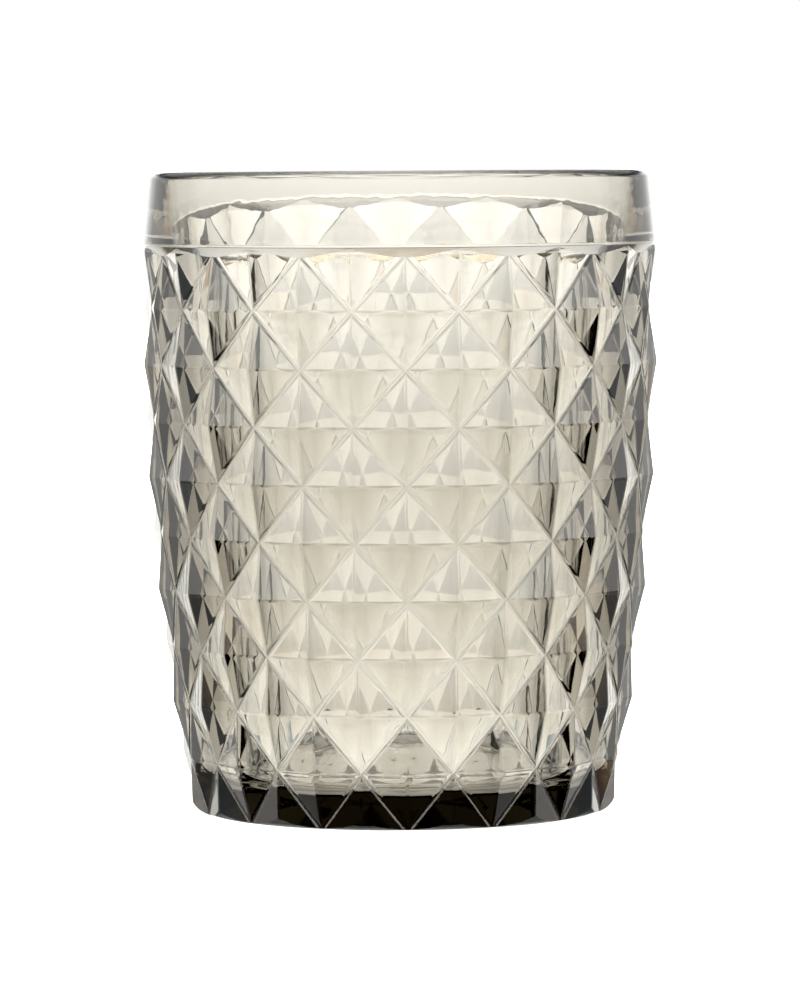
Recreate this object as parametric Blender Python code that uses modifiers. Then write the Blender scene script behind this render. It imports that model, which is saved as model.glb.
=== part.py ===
"""Whiskey tumbler: one piece of smoke-tinted pressed glass.

A smooth rim band and a sloping ledge stand over a barrel-shaped body that is covered, down to
the foot, with four-sided points set in staggered rows. The base is thick and its underside flat.
Metres, +Z up, the underside on z = 0 and the glass's axis on Z.
"""
import math

import bmesh
import bpy

# Overall
HEIGHT = 0.1030

# The points: every level is half a point high, and a point's tip stands over each second column
COLUMNS = 15
LEVEL_PITCH = 0.00904
TOP_LEVEL = 10
BELLY_RADIUS = 0.0402
BELLY_HEIGHT = 8.5 * LEVEL_PITCH
FOOT_RADIUS = 0.0330
POINT_HEIGHT = 0.0013
VALLEY_WIDTH = 0.0007
BURIED_RADIUS = 0.0389

# Rounded edge at the foot
FOOT_EDGE_RADIUS = 0.0340
FOOT_ROUND = 0.0024
FOOT_CLEARANCE_RADIUS = 0.0355

# Rim band and the ledge under it
RIM_RADIUS = 0.0403
LIP_OUTER_ROUND = 0.0014
LIP_INNER_ROUND = 0.0008
BAND_BOTTOM_RADIUS = 0.04145
BAND_BOTTOM_HEIGHT = 0.0914
BAND_EDGE_ROUND = 0.0008
LEDGE_RADIUS = 0.0400
LEDGE_HEIGHT = 0.0898
LEDGE_ROOT_RADIUS = 0.0360
LEDGE_ROOT_HEIGHT = 0.0870

# Drinking space
INNER_RIM_RADIUS = 0.0380
INNER_DRAFT = math.radians(4.5)
BASE_THICKNESS = 0.0056
FLOOR_ROUND = 0.0040

SEGMENTS = 60
SHARP_ANGLE = math.radians(7.0)


def clear_scene():
    """Remove everything that is in the scene."""
    for item in list(bpy.data.objects):
        bpy.data.objects.remove(item, do_unlink=True)
    for group in list(bpy.data.collections):
        bpy.data.collections.remove(group)


def new_collection(name):
    """Add a collection to the scene."""
    group = bpy.data.collections.new(name)
    bpy.context.scene.collection.children.link(group)
    return group


def glass_material():
    """Smoke-tinted clear glass."""
    material = bpy.data.materials.new("smoke_glass")
    material.use_nodes = True
    shader = material.node_tree.nodes["Principled BSDF"]
    shader.inputs["Base Color"].default_value = (0.36, 0.33, 0.29, 1.0)
    shader.inputs["Roughness"].default_value = 0.04
    shader.inputs["Metallic"].default_value = 0.0
    return material


def rounded_corner(before, corner, after, radius, steps):
    """Points of the arc that rounds the corner of a profile given as (radius, height) pairs."""
    ax, az = before[0] - corner[0], before[1] - corner[1]
    bx, bz = after[0] - corner[0], after[1] - corner[1]
    a_len, b_len = math.hypot(ax, az), math.hypot(bx, bz)
    ax, az, bx, bz = ax / a_len, az / a_len, bx / b_len, bz / b_len
    half = math.acos(max(-1.0, min(1.0, ax * bx + az * bz))) / 2.0
    reach = radius / math.tan(half)
    mx, mz = ax + bx, az + bz
    m_len = math.hypot(mx, mz)
    depth = radius / math.sin(half)
    cx, cz = corner[0] + mx / m_len * depth, corner[1] + mz / m_len * depth
    start = math.atan2(corner[1] + az * reach - cz, corner[0] + ax * reach - cx)
    end = math.atan2(corner[1] + bz * reach - cz, corner[0] + bx * reach - cx)
    turn = (end - start + math.pi) % (2.0 * math.pi) - math.pi
    points = []
    for step in range(steps + 1):
        angle = start + turn * step / steps
        points.append((cx + radius * math.cos(angle), cz + radius * math.sin(angle)))
    return points


def revolve(name, profile, group):
    """Turn a profile, listed from the top down its outer side, into a solid of revolution."""
    mesh = bpy.data.meshes.new(name)
    edges = [(i, i + 1) for i in range(len(profile) - 1)]
    mesh.from_pydata([(r, 0.0, z) for r, z in profile], edges, [])
    turned = bpy.data.objects.new(name, mesh)
    group.objects.link(turned)
    screw = turned.modifiers.new("revolve", "SCREW")
    screw.axis = "Z"
    screw.steps = SEGMENTS
    screw.render_steps = SEGMENTS
    screw.use_merge_vertices = True
    screw.merge_threshold = 0.00001
    screw.use_smooth_shade = False
    return turned


def level_height(level):
    """Height of a level of the pattern; level 0 is the underside."""
    return level * LEVEL_PITCH


def valley_radius(height):
    """Radius of the valleys between the points: a barrel curve, widest at the belly."""
    if height > level_height(TOP_LEVEL) + LEVEL_PITCH / 2.0:
        return BURIED_RADIUS
    fall = (height - BELLY_HEIGHT) / BELLY_HEIGHT
    return BELLY_RADIUS - (BELLY_RADIUS - FOOT_RADIUS) * fall * fall


def place(builder, half_column, height, radius):
    """Add a vertex on the given half column; half column 0 faces -Y."""
    angle = math.pi * half_column / COLUMNS
    return builder.verts.new((radius * math.sin(angle), -radius * math.cos(angle), height))


def valley_inset():
    """Share of a point's half diagonal that the flat floor of a valley takes at its corner."""
    across = BELLY_RADIUS * math.pi / COLUMNS
    return VALLEY_WIDTH / 2.0 * math.hypot(across, LEVEL_PITCH) / (across * LEVEL_PITCH)


def is_crossing(level, half_column):
    """Valleys cross where level and half column are both even or both odd."""
    return (level + half_column) % 2 == 0


def crossing_corners(builder, level, half_column):
    """The corners left, right, above and below a crossing, where four points end."""
    inset = valley_inset()
    height = level_height(level)
    middle = valley_radius(height)
    corners = {
        "left": place(builder, half_column - inset, height, middle),
        "right": place(builder, half_column + inset, height, middle),
    }
    if level <= TOP_LEVEL:
        above = height + inset * LEVEL_PITCH
        corners["above"] = place(builder, half_column, above, valley_radius(above))
    if level >= 0:
        below = height - inset * LEVEL_PITCH
        corners["below"] = place(builder, half_column, below, valley_radius(below))
    return corners


def add_pyramid(builder, tip, crossings, level, half_column):
    """The faces of one point, as far as they lie between the lowest and highest level."""
    west = crossings[level, (half_column - 1) % (2 * COLUMNS)]["right"]
    east = crossings[level, (half_column + 1) % (2 * COLUMNS)]["left"]
    if (level + 1, half_column) in crossings:
        north = crossings[level + 1, half_column]["below"]
        builder.faces.new((tip, east, north))
        builder.faces.new((tip, north, west))
    if (level - 1, half_column) in crossings:
        south = crossings[level - 1, half_column]["above"]
        builder.faces.new((tip, south, east))
        builder.faces.new((tip, west, south))


def add_valleys(builder, crossings, level, half_column):
    """The flat at a crossing, and the valley floors that climb from it to both sides."""
    here = crossings[level, half_column]
    ring = [here[key] for key in ("right", "above", "left", "below") if key in here]
    builder.faces.new(ring)
    if level > TOP_LEVEL:
        return
    right = crossings[level + 1, (half_column + 1) % (2 * COLUMNS)]
    left = crossings[level + 1, (half_column - 1) % (2 * COLUMNS)]
    builder.faces.new((here["above"], here["right"], right["below"], right["left"]))
    builder.faces.new((here["left"], here["above"], left["right"], left["below"]))


def close_end(builder, rim, upward):
    """Close one end of the pattern with a flat face."""
    face = builder.faces.new(rim)
    face.normal_update()
    if (face.normal.z > 0.0) != upward:
        face.normal_flip()


def end_rim(crossings, tips, level):
    """Vertices round the pattern at its lowest or highest level."""
    rim = []
    for half_column in range(2 * COLUMNS):
        if is_crossing(level, half_column):
            rim.append(crossings[level, half_column]["left"])
            rim.append(crossings[level, half_column]["right"])
        else:
            rim.append(tips[level, half_column])
    return rim


def pointed_body(name, group):
    """The solid body with its staggered points, from below the foot to inside the band."""
    builder = bmesh.new()
    levels = range(-1, TOP_LEVEL + 2)
    places = [(level, column) for level in levels for column in range(2 * COLUMNS)]
    crossings = {}
    tips = {}
    for level, column in places:
        if is_crossing(level, column):
            crossings[level, column] = crossing_corners(builder, level, column)
        else:
            height = level_height(level)
            lift = POINT_HEIGHT if level <= TOP_LEVEL else 0.0
            tips[level, column] = place(builder, column, height, valley_radius(height) + lift)
    for level, column in places:
        if is_crossing(level, column):
            add_valleys(builder, crossings, level, column)
        else:
            add_pyramid(builder, tips[level, column], crossings, level, column)
    close_end(builder, end_rim(crossings, tips, -1), False)
    close_end(builder, end_rim(crossings, tips, TOP_LEVEL + 1), True)
    bmesh.ops.recalc_face_normals(builder, faces=builder.faces)
    mesh = bpy.data.meshes.new(name)
    builder.to_mesh(mesh)
    builder.free()
    body = bpy.data.objects.new(name, mesh)
    group.objects.link(body)
    return body


def foot_profile():
    """Form that ends the pattern at a flat underside with a rounded edge."""
    corner = (FOOT_EDGE_RADIUS, 0.0)
    clearance = (FOOT_CLEARANCE_RADIUS, LEVEL_PITCH)
    edge = rounded_corner(clearance, corner, (0.0, 0.0), FOOT_ROUND, 6)
    top = HEIGHT + 0.010
    return [(0.0, top), (0.060, top), (0.060, 0.030), clearance] + edge + [(0.0, 0.0)]


def band_profile():
    """Rim band with its rounded lip, its rounded lower edge and the ledge under it."""
    rim = (RIM_RADIUS, HEIGHT)
    bottom = (BAND_BOTTOM_RADIUS, BAND_BOTTOM_HEIGHT)
    ledge = (LEDGE_RADIUS, LEDGE_HEIGHT)
    root = (LEDGE_ROOT_RADIUS, LEDGE_ROOT_HEIGHT)
    profile = [(0.0, HEIGHT)]
    profile += rounded_corner((0.0, HEIGHT), rim, bottom, LIP_OUTER_ROUND, 6)
    profile += rounded_corner(rim, bottom, ledge, BAND_EDGE_ROUND, 4)
    profile += [ledge, root, (0.0, LEDGE_ROOT_HEIGHT)]
    return profile


def inner_radius(height):
    """Radius of the inner wall, which narrows downward by the draft."""
    return INNER_RIM_RADIUS - (HEIGHT - height) * math.tan(INNER_DRAFT)


def drinking_profile():
    """The space inside: rounded lip, drafted wall and rounded floor."""
    rim = (INNER_RIM_RADIUS, HEIGHT)
    corner = (inner_radius(BASE_THICKNESS), BASE_THICKNESS)
    lip = rounded_corner((0.060, HEIGHT), rim, corner, LIP_INNER_ROUND, 4)[1:]
    floor = rounded_corner(rim, corner, (0.0, BASE_THICKNESS), FLOOR_ROUND, 8)
    edge = (INNER_RIM_RADIUS + LIP_INNER_ROUND + 0.0004, HEIGHT + 0.0001)
    top = HEIGHT + 0.010
    return [(0.0, top), (edge[0], top), edge] + lip + floor + [(0.0, BASE_THICKNESS)]


def combine(target, other, operation):
    """Join, keep or remove the other solid by an exact Boolean."""
    modifier = target.modifiers.new(other.name, "BOOLEAN")
    modifier.operation = operation
    modifier.solver = "EXACT"
    modifier.object = other
    other.hide_render = True
    other.display_type = "WIRE"


def finish_surface(body):
    """Smooth shading that keeps the pattern's edges sharp."""
    for polygon in body.data.polygons:
        polygon.use_smooth = True
    body.data.set_sharp_from_angle(angle=SHARP_ANGLE)


def build():
    """Model the tumbler."""
    clear_scene()
    glass = new_collection("whiskey_tumbler")
    forms = new_collection("forms")
    body = pointed_body("glass_body", glass)
    body.data.materials.append(glass_material())
    combine(body, revolve("foot_form", foot_profile(), forms), "INTERSECT")
    combine(body, revolve("rim_band_form", band_profile(), forms), "UNION")
    combine(body, revolve("drinking_space", drinking_profile(), forms), "DIFFERENCE")
    finish_surface(body)


build()
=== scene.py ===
"""Smoke-tinted pressed-glass whiskey tumbler on a pale studio sweep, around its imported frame."""
import math

import bmesh
import bpy
from mathutils import Matrix, Vector


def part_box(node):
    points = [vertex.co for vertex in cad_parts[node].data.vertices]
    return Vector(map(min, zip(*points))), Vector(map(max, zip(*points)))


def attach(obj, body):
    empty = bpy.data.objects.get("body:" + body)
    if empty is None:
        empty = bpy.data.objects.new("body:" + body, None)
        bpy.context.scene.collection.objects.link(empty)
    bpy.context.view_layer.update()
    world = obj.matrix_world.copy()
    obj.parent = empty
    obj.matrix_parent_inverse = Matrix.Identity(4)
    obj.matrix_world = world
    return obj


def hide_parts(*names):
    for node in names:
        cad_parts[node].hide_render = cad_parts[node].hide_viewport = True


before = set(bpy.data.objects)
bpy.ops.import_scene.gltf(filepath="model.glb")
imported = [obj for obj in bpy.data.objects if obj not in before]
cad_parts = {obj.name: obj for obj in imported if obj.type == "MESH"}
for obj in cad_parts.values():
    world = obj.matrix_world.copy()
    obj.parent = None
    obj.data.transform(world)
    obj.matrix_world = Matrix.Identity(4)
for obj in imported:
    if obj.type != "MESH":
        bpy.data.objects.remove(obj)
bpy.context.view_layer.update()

# One millimetre of the tumbler, from the frame's height
HEIGHT = 103.0
LOW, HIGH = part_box("glass_body")
MM = (HIGH.z - LOW.z) / HEIGHT

# The points, in millimetres: each level is half a point high
COLUMNS = 15
LEVEL_PITCH = 9.04
TOP_LEVEL = 10
BELLY_RADIUS = 40.2
BELLY_HEIGHT = 8.5 * LEVEL_PITCH
FOOT_RADIUS = 33.0
POINT_HEIGHT = 1.3
VALLEY_WIDTH = 0.85
GROOVE_DEPTH = 0.20
RIDGE_ROUND = 0.30
VALLEY_ROUND = 0.22
BURIED_RADIUS = 38.9
SHARP_ANGLE = math.radians(24.0)

# Foot, rim band, ledge and drinking space
FOOT_EDGE = (34.0, 0.0)
FOOT_CLEARANCE = (35.5, LEVEL_PITCH)
FOOT_ROUND = 2.4
RIM = (40.3, HEIGHT)
LIP_OUTER_ROUND = 1.4
LIP_INNER_ROUND = 0.8
BAND_BOTTOM = (41.45, 91.4)
BAND_EDGE_ROUND = 0.8
LEDGE = (40.0, 89.8)
LEDGE_ROOT = (36.0, 87.0)
INNER_RIM_RADIUS = 38.0
INNER_DRAFT = math.radians(4.5)
BASE_THICKNESS = 5.6
FLOOR_ROUND = 4.0
SEGMENTS = 240
# Where the cutting forms end, clear of the glass
CLEAR_RADIUS = 60.0
CLEAR_TOP = 120.0

# Light lost per millimetre of glass, for red, green and blue
ABSORPTION = (0.088, 0.0935, 0.108)

# Studio light, in degrees: brightness by the angle round from behind the glass, and how much of it
# comes from each elevation, behind the glass and in front. The levels started from a fit to the
# reference photo, and were then rounded and changed.
LIGHT_PEAK = 4.0
COLOUR_FRINGE = 0.4
LIGHT_TINT = (1.0, 0.995, 0.965)
LIGHT_AROUND = [
    (0, 1.95), (20, 1.85), (26, 1.45), (33, 1.1), (52, 1.1), (66, 1.5), (82, 2.6), (110, 3.9), (180, 3.9)]
RISE_BEHIND = [
    (-90, 0.55), (-38, 0.50), (-31, 0.42), (-27, 0.18), (-23, 0.15), (-20.5, 0.80), (-9, 0.76),
    (-6.5, 0.98), (4, 1.05), (11, 1.12), (14, 0.50), (16, 0.06), (19, 0.15), (23, 0.52), (30, 0.56),
    (90, 0.35)]
RISE_IN_FRONT = [
    (-90, 0.25), (-30, 0.22), (-12, 0.20), (-6, 0.10), (2, 0.90), (13, 1.0), (24, 0.50), (34, 0.60),
    (48, 1.7), (90, 1.7)]
# Where the room turns from its back to its front, and where mirror reflections leave out its lower front
FRONT_BEGINS = (68.4, 90.0)
MASK_BEGINS = 99.0
MASK_FADES = (-5.4, 0.0)


def rounded_corner(before, corner, after, radius, steps):
    """Points of the arc that rounds the corner of a (radius, height) profile."""
    a = (Vector(before) - Vector(corner)).normalized()
    b = (Vector(after) - Vector(corner)).normalized()
    half = a.angle(b) / 2.0
    centre = Vector(corner) + (a + b).normalized() * radius / math.sin(half)
    start = Vector(corner) + a * radius / math.tan(half) - centre
    end = Vector(corner) + b * radius / math.tan(half) - centre
    first = math.atan2(start.y, start.x)
    turn = (math.atan2(end.y, end.x) - first + math.pi) % (2.0 * math.pi) - math.pi
    angles = [first + turn * step / steps for step in range(steps + 1)]
    return [(centre.x + radius * math.cos(t), centre.y + radius * math.sin(t)) for t in angles]


def new_object(name, mesh):
    """Add a mesh to the scene as an object."""
    made = bpy.data.objects.new(name, mesh)
    bpy.context.scene.collection.objects.link(made)
    return made


def revolve(name, profile):
    """Solid of revolution from a (radius, height) profile that runs top to bottom."""
    mesh = bpy.data.meshes.new(name)
    edges = [(i, i + 1) for i in range(len(profile) - 1)]
    mesh.from_pydata([(r * MM, 0.0, z * MM) for r, z in profile], edges, [])
    turned = new_object(name, mesh)
    screw = turned.modifiers.new("revolve", "SCREW")
    screw.axis = "Z"
    screw.steps = SEGMENTS
    screw.render_steps = SEGMENTS
    screw.use_merge_vertices = True
    screw.merge_threshold = 0.01 * MM
    return turned


def valley_radius(height):
    """Radius of the valleys: a barrel curve, widest at the belly."""
    if height > (TOP_LEVEL + 0.5) * LEVEL_PITCH:
        return BURIED_RADIUS
    fall = (height - BELLY_HEIGHT) / BELLY_HEIGHT
    return BELLY_RADIUS - (BELLY_RADIUS - FOOT_RADIUS) * fall * fall


def place(builder, half_column, level, lift=0.0):
    """Add a vertex on the pattern's grid; half column 0 faces -Y."""
    angle = math.pi * half_column / COLUMNS
    radius = (valley_radius(level * LEVEL_PITCH) + lift) * MM
    height = level * LEVEL_PITCH * MM
    return builder.verts.new((radius * math.sin(angle), -radius * math.cos(angle), height))


def pattern_vertices(builder, levels):
    """Corners round each valley crossing, and the tip of each point."""
    across = BELLY_RADIUS * math.pi / COLUMNS
    inset = VALLEY_WIDTH / 2.0 * math.hypot(across, LEVEL_PITCH) / (across * LEVEL_PITCH)
    crossings, tips = {}, {}
    for level in levels:
        for column in range(2 * COLUMNS):
            if (level + column) % 2:
                lift = POINT_HEIGHT if level <= TOP_LEVEL else 0.0
                tips[level, column] = place(builder, column, level, lift)
                continue
            lift = -GROOVE_DEPTH if levels[0] < level < levels[-1] else 0.0
            corners = {
                "W": place(builder, column - inset, level),
                "E": place(builder, column + inset, level),
                "C": place(builder, column, level, lift),
            }
            if level < levels[-1]:
                corners["N"] = place(builder, column, level + inset)
            if level > levels[0]:
                corners["S"] = place(builder, column, level - inset)
            crossings[level, column] = corners
    return crossings, tips


def pattern_faces(builder, levels, crossings, tips):
    """Four faces to each point, valley floors between the points, and two flat ends."""
    around = 2 * COLUMNS
    for (level, column), tip in tips.items():
        west = crossings[level, (column - 1) % around]["E"]
        east = crossings[level, (column + 1) % around]["W"]
        if level < levels[-1]:
            north = crossings[level + 1, column]["S"]
            builder.faces.new((tip, east, north))
            builder.faces.new((tip, north, west))
        if level > levels[0]:
            south = crossings[level - 1, column]["N"]
            builder.faces.new((tip, south, east))
            builder.faces.new((tip, west, south))
    for (level, column), here in crossings.items():
        if level < levels[-1]:
            right = crossings[level + 1, (column + 1) % around]
            left = crossings[level + 1, (column - 1) % around]
            builder.faces.new((here["C"], here["E"], right["S"], right["C"]))
            builder.faces.new((here["N"], here["C"], right["C"], right["W"]))
            builder.faces.new((here["W"], here["C"], left["C"], left["S"]))
            builder.faces.new((here["C"], here["N"], left["E"], left["C"]))
    for level in (levels[0], levels[-1]):
        rim = []
        for column in range(around):
            if (level + column) % 2:
                rim.append(tips[level, column])
            else:
                rim += [crossings[level, column][key] for key in "WCE"]
        builder.faces.new(rim)


def weigh_edges(builder, crossings, tips):
    """Mark how much each edge is softened: the points' ridges most, the valleys less."""
    weight = builder.edges.layers.float.new("bevel_weight_edge")
    tip_verts = set(tips.values())
    centres = {corners["C"] for corners in crossings.values()}
    for edge in builder.edges:
        if edge.verts[0] in tip_verts or edge.verts[1] in tip_verts:
            edge[weight] = 1.0
        elif (edge.verts[0] in centres) == (edge.verts[1] in centres):
            edge[weight] = VALLEY_ROUND / RIDGE_ROUND


def pointed_body():
    """The solid body with its staggered points and softened edges."""
    builder = bmesh.new()
    levels = range(-1, TOP_LEVEL + 2)
    crossings, tips = pattern_vertices(builder, levels)
    pattern_faces(builder, levels, crossings, tips)
    bmesh.ops.recalc_face_normals(builder, faces=builder.faces)
    weigh_edges(builder, crossings, tips)
    mesh = bpy.data.meshes.new("glass")
    builder.to_mesh(mesh)
    builder.free()
    body = new_object("tumbler_glass", mesh)
    soften = body.modifiers.new("soft_edges", "BEVEL")
    soften.width = RIDGE_ROUND * MM
    soften.segments = 4
    soften.limit_method = "WEIGHT"
    soften.use_clamp_overlap = False
    return body


def foot_profile():
    """Flat underside with a rounded edge."""
    edge = rounded_corner(FOOT_CLEARANCE, FOOT_EDGE, (0.0, 0.0), FOOT_ROUND, 14)
    clear = [(0.0, CLEAR_TOP), (CLEAR_RADIUS, CLEAR_TOP), (CLEAR_RADIUS, 30.0), FOOT_CLEARANCE]
    return clear + edge + [(0.0, 0.0)]


def band_profile():
    """Rim band with its lip, lower edge and ledge."""
    profile = [(0.0, HEIGHT)]
    profile += rounded_corner((0.0, HEIGHT), RIM, BAND_BOTTOM, LIP_OUTER_ROUND, 14)
    profile += rounded_corner(RIM, BAND_BOTTOM, LEDGE, BAND_EDGE_ROUND, 8)
    return profile + [LEDGE, LEDGE_ROOT, (0.0, LEDGE_ROOT[1])]


def drinking_profile():
    """Inner lip, drafted wall and rounded floor."""
    rim = (INNER_RIM_RADIUS, HEIGHT)
    corner = (INNER_RIM_RADIUS - (HEIGHT - BASE_THICKNESS) * math.tan(INNER_DRAFT), BASE_THICKNESS)
    lip = rounded_corner((CLEAR_RADIUS, HEIGHT), rim, corner, LIP_INNER_ROUND, 10)[1:]
    floor = rounded_corner(rim, corner, (0.0, BASE_THICKNESS), FLOOR_ROUND, 24)
    edge = (INNER_RIM_RADIUS + LIP_INNER_ROUND + 0.4, HEIGHT + 0.1)
    return [(0.0, CLEAR_TOP), (edge[0], CLEAR_TOP), edge] + lip + floor + [(0.0, BASE_THICKNESS)]


def close_slivers(mesh):
    """Weld points that the cuts left almost together, and close any pinhole between them."""
    builder = bmesh.new()
    builder.from_mesh(mesh)
    bmesh.ops.remove_doubles(builder, verts=builder.verts, dist=0.0015 * MM)
    bmesh.ops.dissolve_degenerate(builder, edges=builder.edges, dist=0.0005 * MM)
    bmesh.ops.holes_fill(builder, edges=[edge for edge in builder.edges if edge.is_boundary], sides=8)
    builder.to_mesh(mesh)
    builder.free()


def model_glass():
    """Combine the forms into the one piece of glass."""
    body = pointed_body()
    forms = [
        (revolve("foot_form", foot_profile()), "INTERSECT"),
        (revolve("band_form", band_profile()), "UNION"),
        (revolve("space_form", drinking_profile()), "DIFFERENCE"),
    ]
    for form, operation in forms:
        modifier = body.modifiers.new(form.name, "BOOLEAN")
        modifier.operation = operation
        modifier.solver = "EXACT"
        modifier.object = form
    graph = bpy.context.evaluated_depsgraph_get()
    whole = bpy.data.meshes.new_from_object(body.evaluated_get(graph))
    body.modifiers.clear()
    body.data = whole
    for form, _ in forms:
        bpy.data.objects.remove(form)
    close_slivers(whole)
    for polygon in whole.polygons:
        polygon.use_smooth = True
    whole.set_sharp_from_angle(angle=SHARP_ANGLE)
    weigh = body.modifiers.new("face_weighted_normals", "WEIGHTED_NORMAL")
    weigh.keep_sharp = True
    return body


def smoke_glass():
    """Clear glass, tinted in its depth, with a faintly uneven fire-polished surface."""
    material = bpy.data.materials.new("tumbler_smoke_glass")
    material.use_nodes = True
    nodes, links = material.node_tree.nodes, material.node_tree.links
    shader = nodes["Principled BSDF"]
    shader.inputs["Base Color"].default_value = (1.0, 1.0, 1.0, 1.0)
    shader.inputs["Transmission Weight"].default_value = 1.0
    shader.inputs["IOR"].default_value = 1.52
    place_in_glass = nodes.new("ShaderNodeTexCoord")
    polish = nodes.new("ShaderNodeTexNoise")
    polish.inputs["Scale"].default_value = 60.0
    polish.inputs["Detail"].default_value = 2.0
    links.new(place_in_glass.outputs["Object"], polish.inputs["Vector"])
    rough = nodes.new("ShaderNodeMapRange")
    rough.inputs["To Min"].default_value = 0.0
    rough.inputs["To Max"].default_value = 0.03
    links.new(polish.outputs["Fac"], rough.inputs["Value"])
    links.new(rough.outputs["Result"], shader.inputs["Roughness"])
    ripple = nodes.new("ShaderNodeTexNoise")
    ripple.inputs["Scale"].default_value = 220.0
    links.new(place_in_glass.outputs["Object"], ripple.inputs["Vector"])
    bump = nodes.new("ShaderNodeBump")
    bump.inputs["Strength"].default_value = 0.12
    bump.inputs["Distance"].default_value = 0.0002
    links.new(ripple.outputs["Fac"], bump.inputs["Height"])
    links.new(bump.outputs["Normal"], shader.inputs["Normal"])
    depth = nodes.new("ShaderNodeVolumeAbsorption")
    density = 1000.0 * max(ABSORPTION) * 1.02
    tint = [1.0 - 1000.0 * loss / density for loss in ABSORPTION]
    depth.inputs["Color"].default_value = (*tint, 1.0)
    depth.inputs["Density"].default_value = density
    links.new(depth.outputs["Volume"], nodes["Material Output"].inputs["Volume"])
    return material


def studio_floor():
    """A pale sweep under the tumbler, which doesn't show in or through the glass."""
    size = 40.0 * HEIGHT * MM
    mesh = bpy.data.meshes.new("sweep")
    corners = [(-size, -size, 0.0), (size, -size, 0.0), (size, size, 0.0), (-size, size, 0.0)]
    mesh.from_pydata(corners, [], [(0, 1, 2, 3)])
    floor = new_object("studio_floor", mesh)
    material = bpy.data.materials.new("pale_sweep")
    material.use_nodes = True
    nodes, links = material.node_tree.nodes, material.node_tree.links
    shader = nodes["Principled BSDF"]
    grain = nodes.new("ShaderNodeTexNoise")
    grain.inputs["Scale"].default_value = 8.0
    pale = nodes.new("ShaderNodeValToRGB")
    pale.color_ramp.elements[0].color = (0.90, 0.90, 0.90, 1.0)
    pale.color_ramp.elements[1].color = (0.95, 0.95, 0.95, 1.0)
    links.new(grain.outputs["Fac"], pale.inputs["Fac"])
    links.new(pale.outputs["Color"], shader.inputs["Base Color"])
    links.new(pale.outputs["Color"], shader.inputs["Emission Color"])
    shader.inputs["Emission Strength"].default_value = 1.0
    shader.inputs["Roughness"].default_value = 0.9
    mesh.materials.append(material)
    floor.visible_transmission = False
    floor.visible_glossy = False


def ramp_node(nodes, stops):
    """Smooth curve through (position, value) stops, both from 0 to 1."""
    node = nodes.new("ShaderNodeValToRGB")
    ramp = node.color_ramp
    ramp.interpolation = "EASE"
    while len(ramp.elements) < len(stops):
        ramp.elements.new(0.5)
    for element, (position, value) in zip(ramp.elements, stops):
        element.position = position
        element.color = (value, value, value, 1.0)
    return node


def math_node(nodes, links, operation, first, second=None):
    """A Math node; each input is a socket or a number."""
    node = nodes.new("ShaderNodeMath")
    node.operation = operation
    for index, value in enumerate((first, second)):
        if value is None:
            continue
        if isinstance(value, (int, float)):
            node.inputs[index].default_value = value
        else:
            links.new(value, node.inputs[index])
    return node.outputs[0]


def colour_input(node, name):
    """The colour socket of a Mix node; its float and vector sockets share the name."""
    return [socket for socket in node.inputs if socket.name == name and socket.type == "RGBA"][0]


def room_brightness(nodes, links, swing, rise, fringe):
    """Brightness of the room in one colour; fringe moves the edges of its panels, in degrees.

    Mirror reflections of the lower front of the room are left out, which keeps the base dark.
    """
    swing = math_node(nodes, links, "ADD", swing, fringe / 180.0)
    rise = math_node(nodes, links, "ADD", rise, fringe / 180.0)
    around = ramp_node(nodes, [(angle / 180.0, level / LIGHT_PEAK) for angle, level in LIGHT_AROUND])
    behind = ramp_node(nodes, [((angle + 90.0) / 180.0, part / 2.0) for angle, part in RISE_BEHIND])
    front = ramp_node(nodes, [((angle + 90.0) / 180.0, part / 2.0) for angle, part in RISE_IN_FRONT])
    links.new(swing, around.inputs["Fac"])
    links.new(rise, behind.inputs["Fac"])
    links.new(rise, front.inputs["Fac"])
    is_front = nodes.new("ShaderNodeMapRange")
    is_front.inputs["From Min"].default_value = FRONT_BEGINS[0] / 180.0
    is_front.inputs["From Max"].default_value = FRONT_BEGINS[1] / 180.0
    links.new(swing, is_front.inputs["Value"])
    share = nodes.new("ShaderNodeMix")
    share.data_type = "FLOAT"
    links.new(is_front.outputs["Result"], share.inputs["Factor"])
    links.new(behind.outputs["Color"], share.inputs["A"])
    links.new(front.outputs["Color"], share.inputs["B"])
    level = math_node(nodes, links, "MULTIPLY", around.outputs["Color"], share.outputs["Result"])
    level = math_node(nodes, links, "MULTIPLY", level, lower_front_mask(nodes, links, swing, rise))
    return math_node(nodes, links, "MULTIPLY", level, 2.0 * LIGHT_PEAK)


def lower_front_mask(nodes, links, swing, rise):
    """0 for a mirror reflection that sees the lower front of the room, 1 for all else."""
    above = nodes.new("ShaderNodeMapRange")
    above.inputs["From Min"].default_value = (MASK_FADES[0] + 90.0) / 180.0
    above.inputs["From Max"].default_value = (MASK_FADES[1] + 90.0) / 180.0
    links.new(rise, above.inputs["Value"])
    path = nodes.new("ShaderNodeLightPath")
    through = math_node(nodes, links, "SUBTRACT", 1.0, path.outputs["Is Glossy Ray"])
    through = math_node(nodes, links, "MAXIMUM", through, path.outputs["Is Transmission Ray"])
    kept = math_node(nodes, links, "MAXIMUM", above.outputs["Result"], through)
    beside = math_node(nodes, links, "LESS_THAN", swing, MASK_BEGINS / 180.0)
    return math_node(nodes, links, "MAXIMUM", kept, beside)


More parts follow.
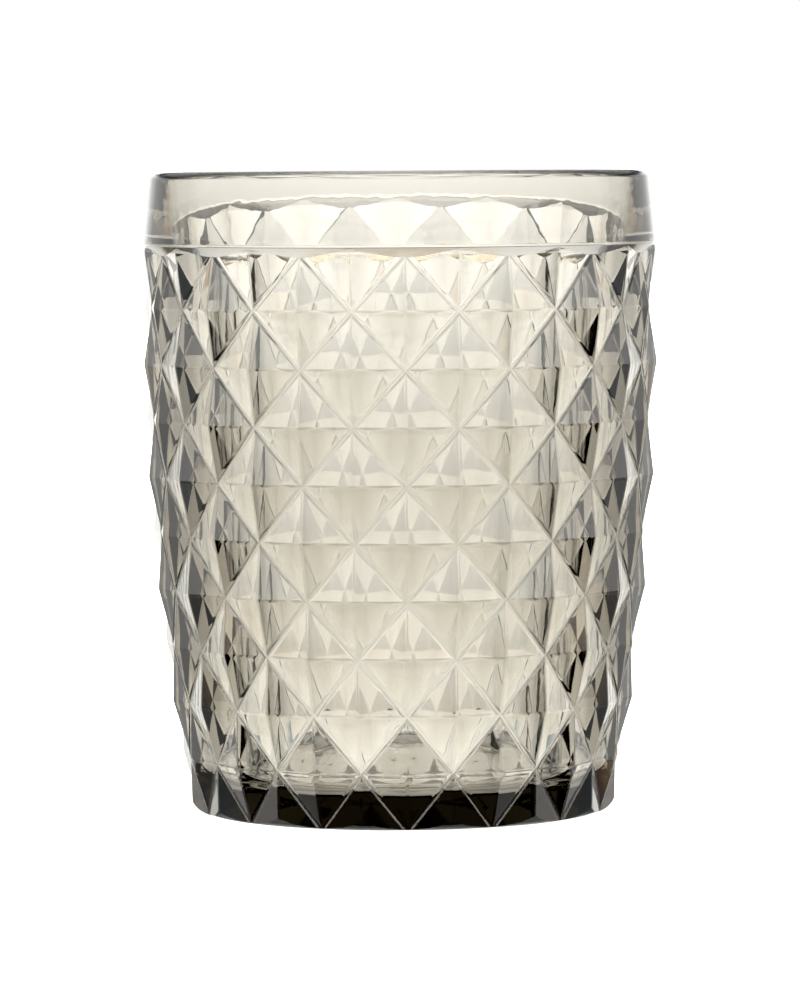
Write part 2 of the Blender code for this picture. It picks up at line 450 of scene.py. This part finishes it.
def studio_light():
    """A lit panel behind the glass, a dimmer room beside it and a bright front, seen as plain white."""
    world = bpy.data.worlds.new("studio")
    bpy.context.scene.world = world
    world.use_nodes = True
    nodes, links = world.node_tree.nodes, world.node_tree.links
    direction = nodes.new("ShaderNodeTexCoord")
    split = nodes.new("ShaderNodeSeparateXYZ")
    links.new(direction.outputs["Generated"], split.inputs["Vector"])
    swing = math_node(nodes, links, "ARCTAN2", split.outputs["X"], split.outputs["Y"])
    swing = math_node(nodes, links, "ABSOLUTE", swing)
    swing = math_node(nodes, links, "DIVIDE", swing, math.pi)
    rise = math_node(nodes, links, "ARCSINE", split.outputs["Z"])
    rise = math_node(nodes, links, "DIVIDE", rise, math.pi)
    rise = math_node(nodes, links, "ADD", rise, 0.5)
    colour = nodes.new("ShaderNodeCombineColor")
    for name, fringe in (("Red", COLOUR_FRINGE), ("Green", 0.0), ("Blue", -COLOUR_FRINGE)):
        links.new(room_brightness(nodes, links, swing, rise, fringe), colour.inputs[name])
    tint = nodes.new("ShaderNodeMix")
    tint.data_type = "RGBA"
    tint.blend_type = "MULTIPLY"
    tint.inputs["Factor"].default_value = 1.0
    colour_input(tint, "B").default_value = (*LIGHT_TINT, 1.0)
    links.new(colour.outputs["Color"], colour_input(tint, "A"))
    lit = nodes["Background"]
    result = [socket for socket in tint.outputs if socket.type == "RGBA"][0]
    links.new(result, lit.inputs["Color"])
    seen = nodes.new("ShaderNodeBackground")
    seen.inputs["Color"].default_value = (1.0, 1.0, 1.0, 1.0)
    path = nodes.new("ShaderNodeLightPath")
    mix = nodes.new("ShaderNodeMixShader")
    links.new(path.outputs["Is Camera Ray"], mix.inputs[0])
    links.new(lit.outputs[0], mix.inputs[1])
    links.new(seen.outputs[0], mix.inputs[2])
    links.new(mix.outputs[0], nodes["World Output"].inputs["Surface"])


def aim_camera():
    """Camera level with the rim, looking slightly down at the middle of the glass."""
    distance, eye, side = 898.6, 103.5, -0.18
    tilt, turn, roll = math.radians(3.415), math.radians(-1.17), math.radians(-0.38)
    camera_data = bpy.data.cameras.new("camera")
    camera_data.lens = 200.5
    camera_data.sensor_width = 36.0
    camera_data.clip_end = 100.0
    camera = bpy.data.objects.new("camera", camera_data)
    bpy.context.scene.collection.objects.link(camera)
    right = Vector((math.cos(turn), math.sin(turn), 0.0))
    towards = Vector((math.sin(turn), -math.cos(turn), 0.0))
    spot = (towards * distance + right * side) * MM
    spot.z = eye * MM
    aim = Matrix.Rotation(turn, 4, "Z") @ Matrix.Rotation(math.pi / 2.0 - tilt, 4, "X")
    camera.matrix_world = Matrix.Translation(spot) @ aim @ Matrix.Rotation(roll, 4, "Z")
    bpy.context.scene.camera = camera


glass = model_glass()
glass.data.materials.clear()
glass.data.materials.append(smoke_glass())
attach(glass, "root")
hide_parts("glass_body")
studio_floor()
studio_light()
aim_camera()

view = bpy.context.scene.view_settings
view.view_transform = "Standard"
cycles = bpy.context.scene.cycles
cycles.max_bounces = 32
cycles.transmission_bounces = 32
cycles.glossy_bounces = 16
